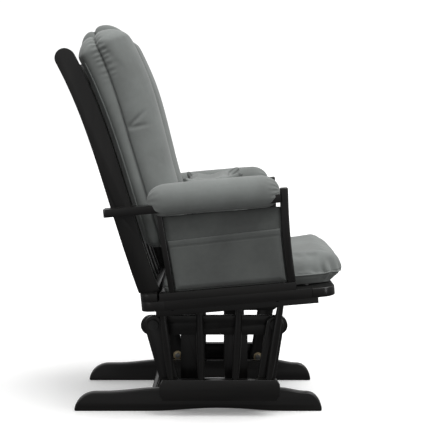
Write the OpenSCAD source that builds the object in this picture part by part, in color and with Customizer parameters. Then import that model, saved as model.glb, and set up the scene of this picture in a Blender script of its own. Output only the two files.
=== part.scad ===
// Glider nursery chair. +Z is up and the chair faces -Y. The origin is on the floor, under the
// middle of the chair. Side profiles are drawn in a plane of "forward" and "up" and then given
// their thickness across the chair. All sizes are in millimetres and degrees.

/* [Glide] */
// Length of a swing arm between its two pivots
arm_len = 176; // [150:1:215]
// Distance between the front and rear upper pivots
top_pivot_gap = 316; // [290:1:380]
// Distance between the front and rear lower pivots
low_pivot_gap = 241; // [200:1:255]
// Lean of the front swing arm at rest, lower end to the rear
front_lean = 8.8; // [5:0.1:12]
// Width of a swing arm
swing_w = 46; // [40:1:56]
// Thickness of a swing arm
swing_t = 19; // [16:1:22]
// How far the glide's middle lies in front of the chair's middle
glide_f = 31.5; // [15:0.5:45]
// Air between a swing arm and the rail on each side of it
swing_gap = 3; // [2.5:0.5:5]

/* [Base] */
// Length of a runner
runner_len = 655; // [540:1:790]
// Height of a runner at its middle
runner_h = 60; // [50:1:66]
// Height of a runner where its toes begin
toe_h = 50; // [40:1:52]
// Thickness of a runner
runner_t = 24; // [20:1:30]
// How far the runner's middle lies in front of the chair's middle
runner_f = -11; // [-20:1:0]
// Rise of the hollow under the runner
arch_rise = 8; // [4:1:12]
// Distance from the chair's middle to a runner's inner face
base_half_w = 150; // [120:1:165]
// Width of an upright board
upright_w = 60; // [50:1:72]
// Thickness of an upright board
upright_t = 18; // [15:1:20]
// Distance between the middles of the two uprights on one side
upright_gap = 116; // [97:1:139]
// Height of a top rail
top_rail_h = 50; // [42:1:60]
// Thickness of a top rail
top_rail_t = 18; // [15:1:22]
// Top rail beyond each upper pivot
top_rail_end = 34; // [28:1:40]
// Diameter of the dowels between the runners
dowel_d = 22; // [18:1:26]
// Height of the dowels over the floor
dowel_z = 38; // [30:1:42]
// Height of the boards that join the uprights
cross_h = 60; // [40:1:80]

/* [Moving side frames] */
// Height of the lower rails over the floor
low_rail_lift = 43; // [30:1:55]
// Height of a lower rail
low_rail_h = 55; // [48:1:66]
// Thickness of a lower rail
low_rail_t = 22; // [20:1:26]
// Lower rail beyond the rear lower pivot
low_rail_rear = 32; // [28:1:40]
// Lower rail beyond the front lower pivot
low_rail_front = 39; // [30:1:45]
// Diameter of a spindle at its middle
spindle_d = 21; // [17:1:24]
// Diameter of a spindle at its ends
spindle_end_d = 17; // [14:1:18]
// Depth of a spindle's ends in their sockets
spindle_socket = 8; // [5:1:12]

/* [Seat] */
// Tilt of the seat, rear end down
seat_tilt = 5; // [2:0.5:8]
// Height of the deck's middle over the upper pivots
deck_rise = 92; // [90:1:120]
// How far the deck's middle lies in front of the glide's middle
deck_ahead = 59.5; // [45:0.5:65]
// Length of the deck, front to rear
deck_len = 493; // [450:1:590]
// Width of the deck
deck_w = 576; // [520:1:690]
// Thickness of the deck
deck_t = 24; // [20:1:28]
// Width of a deck board
deck_board = 60; // [52:1:70]
// Radius of the deck's corners
deck_corner = 36; // [20:1:45]
// Height of the aprons under the deck
apron_h = 22; // [16:1:24]
// Thickness of an apron
apron_t = 22; // [18:1:26]
// Number of slats under the cushion
seat_slat_n = 5; // [4:1:6]
// Width of a seat slat
seat_slat_w = 46; // [36:1:54]
// Thickness of a seat slat
seat_slat_t = 12; // [9:1:16]

/* [Back] */
// Rise of a back post from its foot to the middle of its round top
back_rise = 593; // [500:1:700]
// How far a back post's top lies behind its foot
back_run = 210; // [160:1:260]
// Lean of a back post at its foot
foot_lean = 20; // [14:1:24]
// Lean of a back post at its top
top_lean = 28; // [22:1:32]
// Width of a back post, seen from the side
post_w = 50; // [42:1:58]
// Thickness of a back post, across the chair
post_t = 24; // [20:1:28]
// Thickness of the rail that the back stands on
foot_rail_h = 20; // [16:1:24]
// Width of the rail that the back stands on
foot_rail_w = 44; // [40:1:50]
// Number of slats in the back
back_slat_n = 5; // [4:1:6]
// Width of a back slat
back_slat_w = 44; // [36:1:50]
// Thickness of a back slat
back_slat_t = 12; // [9:1:16]
// Thickness of the crest rail
crest_t = 22; // [18:1:26]

/* [Arms] */
// Height of the arm board's underside over the deck
arm_board_z = 224; // [190:1:260]
// Thickness of the arm board
arm_board_t = 20; // [16:1:24]
// Width of the arm board
arm_board_w = 60; // [50:1:66]
// Width of the arm posts and of the rail under them, across the chair
arm_post_w = 30; // [26:1:34]
// Thickness of the front arm post
front_post_t = 20; // [16:1:24]
// Distance from the deck's middle to the middle of the front arm post's foot
front_post_f = 138; // [130:1:160]
// Bow of the front arm post
front_post_bow = 4; // [0:1:8]
// How far the front arm post stands above the arm board
front_post_over = 14; // [8:1:20]
// Thickness of the rear arm post
rear_post_t = 15; // [12:1:18]
// Distance from the deck's middle back to the rear arm post's foot
rear_post_f = 164; // [150:1:170]
// How far the rear arm post's top lies behind its foot
rear_post_run = 16; // [0:1:22]
// Thickness of the rail under the arm posts
arm_rail_h = 20; // [16:1:24]

/* [Soft parts] */
// Length of an arm pad
pad_len = 328; // [300:1:340]
// Height of an arm pad
pad_h = 84; // [70:1:92]
// Width of an arm pad
pad_w = 84; // [74:1:92]
// Pad below the arm board
pad_under = 13; // [8:1:16]
// Thickness of the fabric side panel
panel_t = 8; // [6:1:10]
// Height of the pocket on the side panel
pocket_h = 138; // [100:1:150]
// Thickness of the pocket's cloth
pocket_t = 3; // [2:0.5:4]
// Room inside the pocket
pocket_room = 6; // [5:0.5:8]
// Height of the seat cushion at the front
seat_cushion_h = 97; // [85:1:125]
// Height of the seat cushion at the rear
seat_cushion_rear_h = 86; // [75:1:100]
// Seat cushion beyond the front of the deck
seat_cushion_over = 30; // [10:1:40]
// Radius of the seat cushion's front edge
seat_cushion_r = 40; // [25:1:44]
// Thickness of the back cushion
back_cushion_t = 138; // [110:1:150]
// Width of the back cushion
back_cushion_w = 480; // [420:1:490]
// Length of the lumbar pillow, across the chair
pillow_w = 400; // [340:1:430]
// Height of the lumbar pillow
pillow_h = 207; // [160:1:220]
// Thickness of the lumbar pillow
pillow_t = 136; // [100:1:140]
// Lean of the lumbar pillow, top to the rear, from square to the deck
pillow_lean = 12; // [8:1:14]

/* [Hardware] */
// Radius of a pivot bolt's shank
bolt_r = 4; // [3:0.5:5]
// Radial clearance of a bush on its bolt
run_clear = 0.05; // [0.02:0.01:0.1]
// Outer radius of a bush
bush_r = 11; // [9:0.5:12]
// Radius of a bush's flange
flange_r = 13; // [12.5:0.5:15]
// Thickness of a bush's flange
flange_t = 1; // [0.5:0.1:1.5]
// Width across the corners of a bolt head
head_d = 15; // [13:0.5:17]
// Height of a bolt head
head_h = 5; // [4:0.5:6]
// Extra radius of the lower rail's hole round the rear lower bolt
open_clear = 3.6; // [3.2:0.1:5]
// Radius of a wood screw
screw_r = 2; // [1.5:0.25:2.5]
// Radius of a wood screw's head
screw_head_r = 4; // [3.5:0.25:5]

/* [Hidden] */
$fn = 96;

LEFT = 1;  // the sitter's left, +X
RIGHT = -1;
lacquer = "#1d1c1c";
cloth = "#6a6e6c";
cloth_dark = "#565a58";
zinc = "#b9bbbd";
brass = "#b08d4f";
far = 2000;     // longer than anything here, for blocks that trim
proud = 1;      // how far a cut runs past a face
soft_gap = 0.6; // air between a soft part and what it lies on
facets = 24;    // steps along a long curve

// Places across the chair, from its middle, for the left side.
runner_x = base_half_w + runner_t / 2;
upright_x = base_half_w + upright_t / 2;
top_rail_x = base_half_w + upright_t + top_rail_t / 2;
swing_x = top_rail_x + top_rail_t / 2 + swing_gap + swing_t / 2;
low_rail_x = swing_x + swing_t / 2 + swing_gap + low_rail_t / 2;
arm_x = deck_w / 2 - arm_post_w / 2;
arm_board_x = arm_x + 7;
pad_x = arm_x + 10;
post_x = arm_board_x - arm_board_w / 2 - post_t / 2;

// The four pivots of the glide, as [forward, up]. The rear arm hangs where the seat's two lower
// pivots are low_pivot_gap apart.
front_low = [
    glide_f + top_pivot_gap / 2 - arm_len * sin(front_lean),
    low_rail_lift + low_rail_h * 0.36
];
front_top = front_low + arm_len * [sin(front_lean), cos(front_lean)];
rear_top = front_top - [top_pivot_gap, 0];
rear_low = lower_meeting(rear_top, arm_len, front_low, low_pivot_gap);
low_rail_from = front_low[0] - low_pivot_gap - low_rail_rear;
low_rail_to = front_low[0] + low_rail_front;
spindle_straight = spindle_socket + 6; // of each spindle's ends
top_rail_z = front_top[1] - 5;

// The deck's frame: its middle on the top face, and its main lines seen from the side.
deck_f = glide_f + deck_ahead;
deck_z = front_top[1] + deck_rise;
deck_end = deck_len / 2;
apron_z = -deck_t - apron_h;
apron_front_f = deck_end - 42;
apron_rear_f = -deck_end + 34;
side_apron_x = low_rail_x + 10;
deck_side_w = max(deck_board, deck_w / 2 - side_apron_x + 6); // reaches over the side apron
spindle_f = [-0.397, -0.204, 0.002, 0.221] * deck_len; // where the spindles meet the apron
spindle_low_f = [0.10, 0.35, 0.63, 0.905];             // shares of the lower rail's length

// The back's spine, a curve that the posts, the slats, the crest rail and the cushion all follow.
foot_f = -deck_end + foot_rail_w / 2;
foot = deck_point(foot_f, foot_rail_h);
spine_top = foot + [-back_run, back_rise];
spine_low_handle = foot + 0.42 * back_rise * [-sin(foot_lean), cos(foot_lean)];
spine_top_handle = spine_top - 0.34 * back_rise * [-sin(top_lean), cos(top_lean)];
crest_from = 0.90;           // shares of the spine
crest_to = 0.985;
back_cushion_from = 0.135;

// The arms, in the deck's frame.
front_post_top = arm_board_z + arm_board_t + front_post_over;
arm_rail_from = -deck_end + foot_rail_w + 6;
arm_rail_to = front_post_f + front_post_t / 2;
arm_board_rear_f = -0.64 * deck_len;
arm_board_to = front_post_line(arm_board_z) - front_post_t / 2;
pad_z = arm_board_z - pad_under;
pad_to = arm_board_to - 5;
panel_x = arm_x + 4;
panel_edge = 1;              // air between the side panel and the posts
panel_z0 = arm_rail_h + 1;
panel_z1 = pad_z - 1;
panel_f1 = front_post_f - front_post_t / 2 - front_post_bow - panel_edge;
pocket_x = panel_x + panel_t / 2 + (pocket_room + pocket_t) / 2;
pocket_depth = pocket_room + pocket_t;

// The lower of the two points that lie r from p and s from q.
function lower_meeting(p, r, q, s) =
    let (d = norm(q - p), a = (r * r - s * s + d * d) / (2 * d), h = sqrt(r * r - a * a),
         e = (q - p) / d)
    p + a * e + h * [e[1], -e[0]];

// A point of the deck's frame, as [forward, up] in the chair's.
function deck_point(f, z) = [
    deck_f + f * cos(seat_tilt) - z * sin(seat_tilt),
    deck_z + f * sin(seat_tilt) + z * cos(seat_tilt)
];

// The spine at t from 0 to 1, and the point d in front of it.
function spine(t) = pow(1 - t, 3) * foot + 3 * pow(1 - t, 2) * t * spine_low_handle
    + 3 * (1 - t) * t * t * spine_top_handle + pow(t, 3) * spine_top;
function spine_slope(t) = 3 * pow(1 - t, 2) * (spine_low_handle - foot)
    + 6 * (1 - t) * t * (spine_top_handle - spine_low_handle)
    + 3 * t * t * (spine_top - spine_top_handle);
function before_spine(t, d) =
    let (s = spine_slope(t), u = s / norm(s)) spine(t) + d * [u[1], -u[0]];
function share(from, to, i, n) = from + (to - from) * i / n;

// A smooth step from 0 to 1.
function ease(s) = (1 - cos(180 * s)) / 2;

// The front arm post's middle line: its forward place at height z over the deck.
function front_post_line(z) =
    front_post_f - front_post_bow * sin(180 * (z - arm_rail_h) / (front_post_top - arm_rail_h));
// The rear arm post's middle line.
function rear_post_line(z) =
    -rear_post_f - rear_post_run * (z - arm_rail_h) / (arm_board_z - arm_rail_h);

// ---- Helpers ----

// Gives a side profile its thickness t across the chair, with its middle at x.
module slab(x, t) {
    translate([x + t / 2, 0, 0])
        rotate([90, 0, -90])
            linear_extrude(t)
                children();
}

module sided(side) {
    if (side > 0) children();
    else mirror([1, 0, 0]) children();
}

module both_sides() {
    sided(LEFT) children();
    sided(RIGHT) children();
}

// The deck's frame, for a side profile and for a solid.
module deck_profile() {
    translate([deck_f, deck_z]) rotate(seat_tilt) children();
}

module on_deck() {
    translate([0, -deck_f, deck_z]) rotate([-seat_tilt, 0, 0]) children();
}

// A rod along X, from x0 to x1, at a point of the side profile.
module cross_rod(p, x0, x1, r) {
    translate([x0, -p[0], p[1]])
        rotate([0, 90, 0])
            cylinder(r = r, h = x1 - x0);
}

module hex_head(p, x0, x1) {
    translate([x0, -p[0], p[1]])
        rotate([0, 90, 0])
            cylinder(d = head_d, h = x1 - x0, $fn = 6);
}

// A bar with round ends, from p to q, w wide.
module round_bar(p, q, w) {
    v = q - p;
    translate(p)
        rotate(atan2(v[1], v[0])) {
            translate([0, -w / 2]) square([norm(v), w]);
            circle(d = w);
            translate([norm(v), 0]) circle(d = w);
        }
}

// A rectangle from a low to a high corner whose corners are round.
module round_rect(low, high, r) {
    size = high - low;
    translate([low[0] + r, low[1]]) square([size[0] - 2 * r, size[1]]);
    translate([low[0], low[1] + r]) square([size[0], size[1] - 2 * r]);
    for (x = [low[0] + r, high[0] - r], y = [low[1] + r, high[1] - r])
        translate([x, y]) circle(r = r);
}

// The band between d0 and d1 in front of the spine, from share t0 to share t1 of it.
module spine_band(t0, t1, d0, d1) {
    polygon(concat(
        [for (i = [0 : facets]) before_spine(share(t0, t1, i, facets), d0)],
        [for (i = [facets : -1 : 0]) before_spine(share(t0, t1, i, facets), d1)]
    ));
}

// The same band up to the spine's top, where it ends in a half circle.
module round_topped_band(t0, d0, d1) {
    middle = (d0 + d1) / 2;
    r = (d1 - d0) / 2;
    end = before_spine(1, middle);
    across = (before_spine(1, d1) - before_spine(1, d0)) / (2 * r);
    along = [-across[1], across[0]];
    polygon(concat(
        [for (i = [0 : facets]) before_spine(share(t0, 1, i, facets), d0)],
        [for (i = [1 : facets - 1])
            let (a = 180 * i / facets) end + r * (along * sin(a) - across * cos(a))],
        [for (i = [facets : -1 : 0]) before_spine(share(t0, 1, i, facets), d1)]
    ));
}

// All that is lower than the top of the rail that the back stands on.
module below_foot_rail() {
    deck_profile()
        translate([-far / 2, foot_rail_h - far])
            square([far, far]);
}

// Stands what lies along +Z on p, pointing at q.
module along(p, q) {
    v = q - p;
    translate(p)
        rotate([0, acos(v[2] / norm(v)), atan2(v[1], v[0])])
            children();
}

// A spindle, straight near its ends and thicker at its middle.
module spindle(len) {
    swell = (spindle_d - spindle_end_d) / 2;
    rotate_extrude()
        polygon(concat(
            [[0, 0], [spindle_end_d / 2, 0]],
            [for (i = [0 : 10]) [
                spindle_end_d / 2 + swell * sin(180 * i / 10),
                spindle_straight + (len - 2 * spindle_straight) * i / 10
            ]],
            [[spindle_end_d / 2, len], [0, len]]
        ));
}

// ---- Base ----

module runner(side) {
    rear_toe = 57;
    front_toe = 40;
    rear_rise = 150;
    front_rise = 76;
    arch_from = 200;
    arch_to = 560 / 655 * runner_len;
    color(lacquer)
        sided(side)
            slab(runner_x, runner_t)
                translate([runner_f - runner_len / 2, 0])
                    polygon(concat(
                        [for (i = [0 : 12])
                            [rear_toe * (1 - cos(90 * i / 12)), toe_h * sin(90 * i / 12)]],
                        [for (i = [1 : 8]) [
                            rear_toe + 20 + rear_rise * i / 8,
                            toe_h + (runner_h - toe_h) * ease(i / 8)
                        ]],
                        [for (i = [0 : 8]) [
                            runner_len - front_toe - front_rise * (1 - i / 8),
                            runner_h - (runner_h - toe_h) * ease(i / 8)
                        ]],
                        [for (i = [1 : 12]) [
                            runner_len - front_toe * (1 - sin(90 * i / 12)),
                            toe_h * cos(90 * i / 12)
                        ]],
                        [for (i = [12 : -1 : 0]) [
                            share(arch_from, arch_to, i, 12),
                            arch_rise * pow(sin(180 * i / 12), 2)
                        ]]
                    ));
}

// The middles of the uprights, counted from the rear.
function upright_f(i) = glide_f + (i - 0.5) * upright_gap;

module upright(side, i) {
    color(lacquer)
        sided(side)
            difference() {
                slab(upright_x, upright_t)
                    translate([upright_f(i) - upright_w / 2, runner_h])
                        square([upright_w, top_rail_z + top_rail_h / 2 - 6 - runner_h]);
                top_rail_screw_shape(i);
            }
}

module base_dowels() {
    color(lacquer)
        for (f = [rear_top[0], front_top[0]])
            cross_rod([f, dowel_z], -base_half_w, base_half_w, dowel_d / 2);
}

module base_cross_boards() {
    board_z = (runner_h + top_rail_z - top_rail_h / 2) / 2;
    color(lacquer)
        for (i = [0, 1])
            slab(0, 2 * base_half_w)
                translate([upright_f(i) - upright_t / 2, board_z - cross_h / 2])
                    square([upright_t, cross_h]);
}

module top_rail(side) {
    half = top_pivot_gap / 2 + top_rail_end - top_rail_h / 2;
    color(lacquer)
        sided(side)
            difference() {
                slab(top_rail_x, top_rail_t)
                    round_bar([glide_f - half, top_rail_z], [glide_f + half, top_rail_z], top_rail_h);
                for (p = [rear_top, front_top])
                    cross_rod(p, top_rail_x - top_rail_t, top_rail_x + top_rail_t, bolt_r);
                for (i = [0, 1])
                    top_rail_screw_shape(i);
            }
}

// Two screws hold each upright to its top rail.
top_rail_screw_len = upright_t + top_rail_t * 0.7;
screw_head_t = 3;
function top_rail_screw(i, j) = [upright_f(i) + (j - 0.5) * upright_w * 0.5, top_rail_z];

module top_rail_screw_shape(i) {
    for (j = [0, 1]) {
        cross_rod(top_rail_screw(i, j), base_half_w, base_half_w + screw_head_t, screw_head_r);
        cross_rod(top_rail_screw(i, j), base_half_w, base_half_w + top_rail_screw_len, screw_r);
    }
}

module top_rail_screws() {
    color(zinc)
        both_sides()
            for (i = [0, 1])
                top_rail_screw_shape(i);
}

// ---- Swing arms ----

// A bolt on each upper pivot: its head outside the swing arm and its nut inside the top rail.
swing_out = swing_x + swing_t / 2 + flange_t + 0.5;
swing_in = swing_x - swing_t / 2 - flange_t - 0.5;
cap_h = 2;

module upper_pivot_bolts() {
    rail_in = top_rail_x - top_rail_t / 2;
    color(zinc)
        both_sides()
            for (p = [rear_top, front_top]) {
                cross_rod(p, rail_in - head_h, swing_out, bolt_r);
                hex_head(p, swing_out, swing_out + 3);
                hex_head(p, rail_in - head_h, rail_in);
            }
}

module pivot_caps() {
    color(lacquer)
        both_sides()
            for (p = [rear_top, front_top])
                difference() {
                    cross_rod(p, swing_out + 0.2, swing_out + 3 + cap_h, flange_r + 0.6);
                    hex_head(p, swing_out - proud, swing_out + 3);
                }
}

module swing_arm(side, top, low) {
    color(lacquer)
        sided(side)
            slab(swing_x, swing_t)
                difference() {
                    round_bar(low, top, swing_w);
                    for (p = [low, top])
                        translate(p) circle(r = bush_r);
                }
}

// A flanged bush in each end of a swing arm, bored for its bolt.
module bush(p, bore_r) {
    x0 = swing_x - swing_t / 2;
    x1 = swing_x + swing_t / 2;
    difference() {
        union() {
            cross_rod(p, x0, x1, bush_r);
            cross_rod(p, x0 - flange_t, x0, flange_r);
            cross_rod(p, x1, x1 + flange_t, flange_r);
        }
        cross_rod(p, x0 - flange_t - proud, x1 + flange_t + proud, bore_r);
    }
}

module front_arm_bushes() {
    color(brass)
        both_sides() {
            bush(front_top, bolt_r + run_clear);
            bush(front_low, bolt_r + run_clear);
        }
}

module rear_arm_bushes() {
    color(brass)
        both_sides() {
            bush(rear_top, bolt_r + run_clear);
            bush(rear_low, bolt_r);
        }
}

// A bolt on each lower pivot: its head inside the swing arm, its point blind in the lower rail.
lower_bolt_end = low_rail_x + low_rail_t / 2 - 4;

module lower_bolt(p) {
    cross_rod(p, swing_in, lower_bolt_end, bolt_r);
    hex_head(p, swing_in - head_h, swing_in);
}

module front_lower_bolts() {
    color(zinc) both_sides() lower_bolt(front_low);
}

module rear_lower_bolts() {
    color(zinc) both_sides() lower_bolt(rear_low);
}

// ---- Moving side frames ----

module lower_rail(side) {
    nose = 15;
    shoulder = 9;
    z0 = low_rail_lift;
    z1 = low_rail_lift + low_rail_h;
    color(lacquer)
        sided(side)
            difference() {
                slab(low_rail_x, low_rail_t)
                    polygon([
                        [low_rail_from, z0 + nose], [low_rail_from + shoulder, z0],
                        [low_rail_to - shoulder, z0], [low_rail_to, z0 + nose],
                        [low_rail_to, z1 - nose], [low_rail_to - shoulder, z1],
                        [low_rail_from + shoulder, z1], [low_rail_from, z1 - nose]
                    ]);
                cross_rod(front_low, low_rail_x - low_rail_t, lower_bolt_end, bolt_r);
                cross_rod(rear_low, low_rail_x - low_rail_t, lower_bolt_end + 1, bolt_r + open_clear);
                spindle_sockets(true);
            }
}

// Both ends of the left side's spindle i: in the lower rail and in the side apron.
function spindle_foot(i) = [
    low_rail_x,
    -(low_rail_from + (low_rail_to - low_rail_from) * spindle_low_f[i]),
    low_rail_lift + low_rail_h - spindle_socket
];
function spindle_head(i) =
    let (p = deck_point(spindle_f[i], apron_z + spindle_socket)) [side_apron_x, -p[0], p[1]];

// The sockets that one end of each spindle sits in, with flats that just clear it.
module spindle_sockets(at_foot) {
    flats = 24;
    r = spindle_end_d / 2 / cos(180 / flats);
    for (i = [0 : 3])
        along(at_foot ? spindle_foot(i) : spindle_head(i), at_foot ? spindle_head(i) : spindle_foot(i))
            linear_extrude(height = spindle_straight)
                polygon([for (k = [0 : flats - 1]) r * [cos(360 * k / flats), sin(360 * k / flats)]]);
}

module spindles(side) {
    color(lacquer)
        sided(side)
            for (i = [0 : 3])
                along(spindle_foot(i), spindle_head(i))
                    spindle(norm(spindle_head(i) - spindle_foot(i)));
}

// ---- Seat ----

module side_apron(side) {
    color(lacquer)
        sided(side)
            difference() {
                slab(side_apron_x, apron_t)
                    deck_profile()
                        translate([apron_rear_f, apron_z])
                            square([apron_front_f - apron_rear_f, apron_h]);
                spindle_sockets(false);
            }
}

module cross_apron(f) {
    color(lacquer)
        slab(0, 2 * side_apron_x - apron_t)
            deck_profile()
                translate([f, apron_z])
                    square([apron_t, apron_h]);
}

module front_apron() {
    cross_apron(apron_front_f - apron_t);
}

module rear_apron() {
    cross_apron(apron_rear_f);
}

// The deck in plan: a board across each end, with two round corners, and one along each side.
module deck_end_board(towards_front) {
    half = deck_w / 2;
    outer = deck_end - deck_corner;
    inner = deck_end - deck_board;
    color(lacquer)
        difference() {
            on_deck()
                translate([0, 0, -deck_t])
                    linear_extrude(deck_t)
                        rotate(towards_front ? 0 : 180)
                            intersection() {
                                union() {
                                    translate([-half, -outer]) square([2 * half, outer - inner]);
                                    translate([-half + deck_corner, -deck_end])
                                        square([2 * (half - deck_corner), deck_board]);
                                    for (s = [-1, 1])
                                        translate([s * (half - deck_corner), -outer])
                                            circle(r = deck_corner);
                                }
                                translate([-half, -deck_end]) square([2 * half, deck_board]);
                            }
            both_sides() frame_bolt_shapes();
        }
}

module deck_front_board() {
    deck_end_board(true);
}

module deck_rear_board() {
    deck_end_board(false);
}

module deck_side(side) {
    color(lacquer)
        sided(side)
            difference() {
                on_deck()
                    translate([deck_w / 2 - deck_side_w, -deck_end + deck_board, -deck_t])
                        cube([deck_side_w, deck_len - 2 * deck_board, deck_t]);
                frame_bolt_shapes();
            }
}

module seat_slats() {
    free = deck_len - 2 * deck_board;
    pitch = free / seat_slat_n;
    color(lacquer)
        on_deck()
            for (i = [0 : seat_slat_n - 1])
                translate([
                    -(deck_w / 2 - deck_side_w),
                    -free / 2 + (i + 0.5) * pitch - seat_slat_w / 2,
                    -seat_slat_t
                ])
                    cube([deck_w - 2 * deck_side_w, seat_slat_w, seat_slat_t]);
}

// ---- Back ----

module back_foot_rail() {
    half = deck_w / 2 - 3;
    corner = deck_corner - 6;
    rear = deck_end;
    front = deck_end - foot_rail_w;
    color(lacquer)
        difference() {
            on_deck()
                linear_extrude(foot_rail_h)
                    intersection() {
                        union() {
                            translate([-half, front])
                                square([2 * half, foot_rail_w - corner]);
                            translate([-half + corner, front])
                                square([2 * (half - corner), foot_rail_w]);
                            for (s = [-1, 1])
                                translate([s * (half - corner), rear - corner])
                                    circle(r = corner);
                        }
                        translate([-half, front]) square([2 * half, foot_rail_w]);
                    }
            both_sides() frame_bolt_shapes();
        }
}

module back_post(side) {
    color(lacquer)
        sided(side)
            difference() {
                slab(post_x, post_t)
                    difference() {
                        round_topped_band(-0.04, -post_w / 2, post_w / 2);
                        below_foot_rail();
                    }
                frame_bolt_shapes();
            }
}

module crest_rail() {
    color(lacquer)
        slab(0, 2 * post_x - post_t)
            spine_band(crest_from, crest_to, -crest_t / 2, crest_t / 2);
}

module back_slats() {
    clear_w = 2 * post_x - post_t;
    pitch = clear_w / back_slat_n;
    color(lacquer)
        for (i = [0 : back_slat_n - 1])
            slab(-clear_w / 2 + (i + 0.5) * pitch, back_slat_w)
                difference() {
                    spine_band(-0.04, crest_from, -back_slat_t / 2, back_slat_t / 2);
                    below_foot_rail();
                }
}

// ---- Arms ----

module arm_rail(side) {
    color(lacquer)
        sided(side)
            difference() {
                slab(arm_x, arm_post_w)
                    deck_profile()
                        translate([arm_rail_from, 0])
                            square([arm_rail_to - arm_rail_from, arm_rail_h]);
                frame_bolt_shapes();
            }
}

module front_arm_post(side) {
    steps = 10;
    half = front_post_t / 2;
    color(lacquer)
        sided(side)
            slab(arm_x, arm_post_w)
                deck_profile()
                    polygon(concat(
                        [for (i = [0 : steps])
                            let (z = share(arm_rail_h, front_post_top, i, steps))
                            [front_post_line(z) - half, z]],
                        [for (i = [steps : -1 : 0])
                            let (z = share(arm_rail_h, front_post_top, i, steps))
                            [front_post_line(z) + half, z]]
                    ));
}

module rear_arm_post(side) {
    half = rear_post_t / 2;
    color(lacquer)
        sided(side)
            slab(arm_x, arm_post_w)
                deck_profile()
                    polygon([
                        [rear_post_line(arm_rail_h) - half, arm_rail_h],
                        [rear_post_line(arm_rail_h) + half, arm_rail_h],
                        [rear_post_line(arm_board_z) + half, arm_board_z],
                        [rear_post_line(arm_board_z) - half, arm_board_z]
                    ]);
}

// The arm board in plan, from behind the back post to the front arm post, round at its rear.
module arm_board_plan(grow = 0) {
    corner = 8;
    x0 = arm_board_x - arm_board_w / 2 - grow;
    translate([x0, -arm_board_to]) square([arm_board_w + 2 * grow, arm_board_to - arm_board_rear_f - corner]);
    translate([x0, -arm_board_to]) square([arm_board_w + 2 * grow - corner, arm_board_to - arm_board_rear_f]);
    translate([x0 + arm_board_w + 2 * grow - corner, -arm_board_rear_f - corner]) circle(r = corner);
}

module arm_board(side) {
    color(lacquer)
        sided(side)
            difference() {
                on_deck()
                    translate([0, 0, arm_board_z])
                        linear_extrude(arm_board_t)
                            arm_board_plan();
                frame_bolt_shapes();
            }
}

// ---- Bolts of the frame ----

// On each side two bolts run up into the arm rail and one into the back post, all from under the
// deck, and one runs out of the back post into the edge of the arm board.
arm_rail_bolt_f = [-0.34, 0.2] * deck_len;
arm_bolt = deck_point(arm_board_rear_f + post_w / 2 + 4, arm_board_z + arm_board_t / 2);
bolt_head_t = 4;
post_inner_x = post_x - post_t / 2;

// The shanks of the left side's bolts, which their holes fit.
module frame_bolt_shapes() {
    on_deck() {
        for (f = arm_rail_bolt_f)
            translate([arm_x, -f, -deck_t])
                cylinder(r = screw_r, h = deck_t + arm_rail_h * 0.7);
        translate([post_x, -foot_f, -deck_t])
            cylinder(r = screw_r, h = deck_t + foot_rail_h + 30);
    }
    cross_rod(arm_bolt, post_inner_x, arm_board_x, screw_r);
}

module frame_bolts() {
    color(lacquer)
        both_sides() {
            frame_bolt_shapes();
            on_deck() {
                for (f = arm_rail_bolt_f)
                    translate([arm_x, -f, -deck_t - bolt_head_t])
                        cylinder(r = screw_head_r, h = bolt_head_t);
                translate([post_x, -foot_f, -deck_t - bolt_head_t])
                    cylinder(r = screw_head_r, h = bolt_head_t);
            }
            cross_rod(arm_bolt, post_inner_x - bolt_head_t, post_inner_x, screw_head_r);
        }
}

// ---- Soft parts ----

// A padded sleeve round the arm board.
module arm_pad(side) {
    corner = min(38, pad_h / 2 - 1);
    color(cloth)
        sided(side)
            difference() {
                on_deck()
                    translate([0, pad_len - pad_to, 0])
                        rotate([90, 0, 0])
                            linear_extrude(pad_len)
                                round_rect(
                                    [pad_x - pad_w / 2, pad_z],
                                    [pad_x + pad_w / 2, pad_z + pad_h],
                                    corner
                                );
                on_deck()
                    translate([0, 0, arm_board_z - soft_gap])
                        linear_extrude(arm_board_t + 2 * soft_gap)
                            arm_board_plan(soft_gap);
                slab(arm_x, arm_post_w + 2 * soft_gap)
                    deck_profile()
                        translate([-rear_post_f - rear_post_run - rear_post_t, arm_rail_h])
                            square([2 * rear_post_t + rear_post_run, arm_board_z - arm_rail_h]);
            }
}

// The fabric panel under the pad, between the two arm posts.
function panel_rear(z) = rear_post_line(z) + rear_post_t / 2 + panel_edge;

module side_panel(side) {
    color(cloth_dark)
        sided(side)
            slab(panel_x, panel_t)
                deck_profile()
                    polygon([
                        [panel_rear(panel_z0), panel_z0], [panel_f1, panel_z0],
                        [panel_f1, panel_z1], [panel_rear(panel_z1), panel_z1]
                    ]);
}

// A pocket of cloth on the panel's outer face, open at the top.
module side_pocket(side) {
    hem = pocket_t;
    f0 = panel_rear(panel_z0) + 4;
    f1 = panel_f1 - 4;
    z0 = panel_z0 + 4;
    color(cloth_dark)
        sided(side)
            difference() {
                slab(pocket_x, pocket_depth)
                    deck_profile()
                        translate([f0, z0])
                            square([f1 - f0, pocket_h]);
                slab(pocket_x - pocket_t / 2 - proud / 2, pocket_room + proud)
                    deck_profile()
                        translate([f0 + hem, z0 + hem])
                            square([f1 - f0 - 2 * hem, pocket_h]);
            }
}

module seat_cushion() {
    half_w = arm_x - arm_post_w / 2 - 8;
    rear_f = -deck_end + foot_rail_w + 8;
    front_f = deck_end + seat_cushion_over;
    r = seat_cushion_r;
    color(cloth)
        slab(0, 2 * half_w)
            deck_profile() {
                polygon([
                    [rear_f, soft_gap], [front_f - r, soft_gap], [front_f, r],
                    [front_f, seat_cushion_h - r], [front_f - r, seat_cushion_h],
                    [rear_f + r, seat_cushion_rear_h], [rear_f, seat_cushion_rear_h - r / 2]
                ]);
                for (z = [soft_gap + r, seat_cushion_h - r])
                    translate([front_f - r, z]) circle(r = r);
            }
}

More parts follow.
